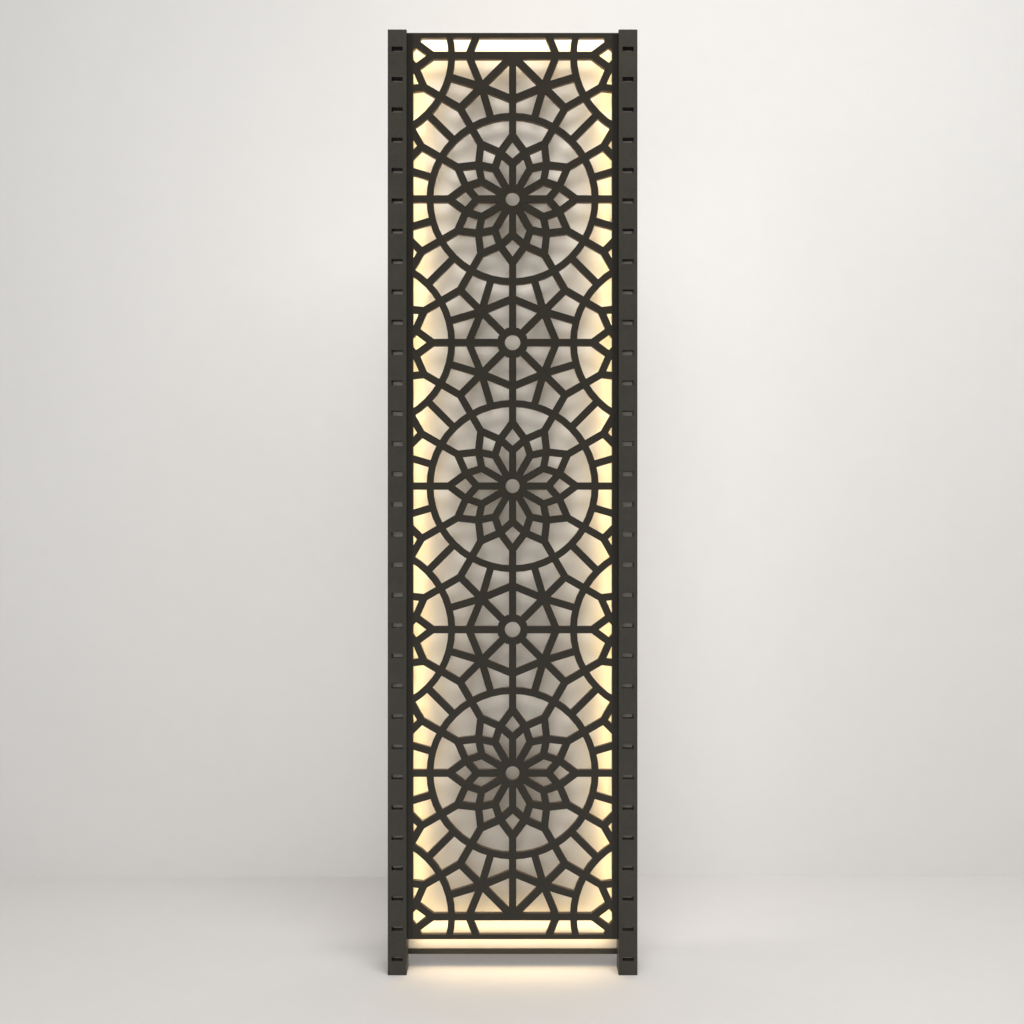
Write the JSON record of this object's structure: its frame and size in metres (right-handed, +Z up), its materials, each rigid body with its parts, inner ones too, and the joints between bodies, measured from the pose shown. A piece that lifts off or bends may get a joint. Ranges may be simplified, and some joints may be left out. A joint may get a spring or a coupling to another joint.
{
  "type": "laser-cut panel",
  "caption": "Backlit laser-cut fretwork screen, 2.4 m tall, held between slotted dark bronze posts, with a pale back board and warm light strips",
  "frame": {"origin": "centre of the footprint, on the surface that the two posts stand on", "axes": "X runs across the screen from the left post to the right one, Y runs from the front to the back, Z is up"},
  "size_m": [0.634, 0.098, 2.4],
  "materials": {
    "post_paint": "dense timber-based bar, satin dark bronze paint",
    "sheet_paint": "12 mm fibreboard, laser cut, satin dark bronze paint",
    "board_white": "6 mm fibreboard, matt off-white",
    "light_lens": "opal silicone sleeve over warm white LEDs"
  },
  "bodies": {
    "root": {"post_left": "post_paint", "post_right": "post_paint", "fretwork_sheet": "sheet_paint", "back_board": "board_white", "bottom_rail": "post_paint", "light_strip_left": "light_lens", "light_strip_right": "light_lens", "light_strip_bottom": "light_lens", "light_strip_top": "light_lens"}
  },
  "joints": []
}
